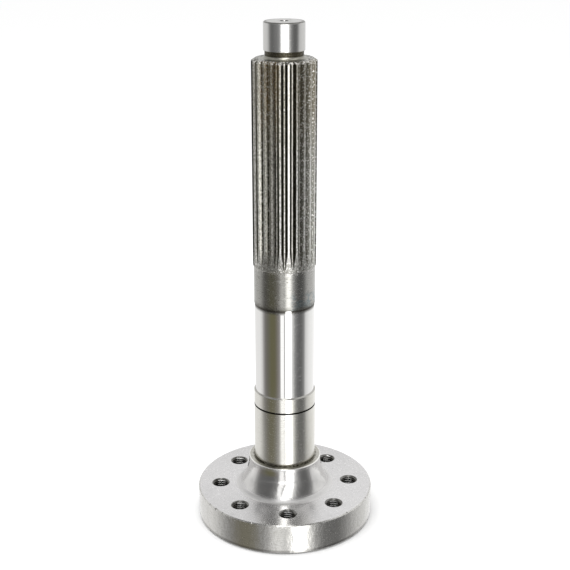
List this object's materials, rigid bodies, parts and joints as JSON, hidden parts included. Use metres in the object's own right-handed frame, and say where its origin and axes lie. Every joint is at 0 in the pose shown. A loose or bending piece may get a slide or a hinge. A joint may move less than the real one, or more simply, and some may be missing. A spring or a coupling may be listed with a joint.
{
  "type": "clutch shaft",
  "caption": "Flanged steel clutch shaft: drilled and tapped flange with a bell neck, ground bearing seat, polished journal, involute spline and a pilot end.",
  "frame": {"origin": "centre of the flange's mounting face", "axes": "+Z along the shaft's axis towards the pilot, -Y towards the front gap of the spline"},
  "size_m": [0.145, 0.145, 0.408],
  "materials": {
    "steel": "turned, milled and ground bare steel"
  },
  "bodies": {
    "root": {"clutch_shaft": "steel"}
  },
  "joints": []
}
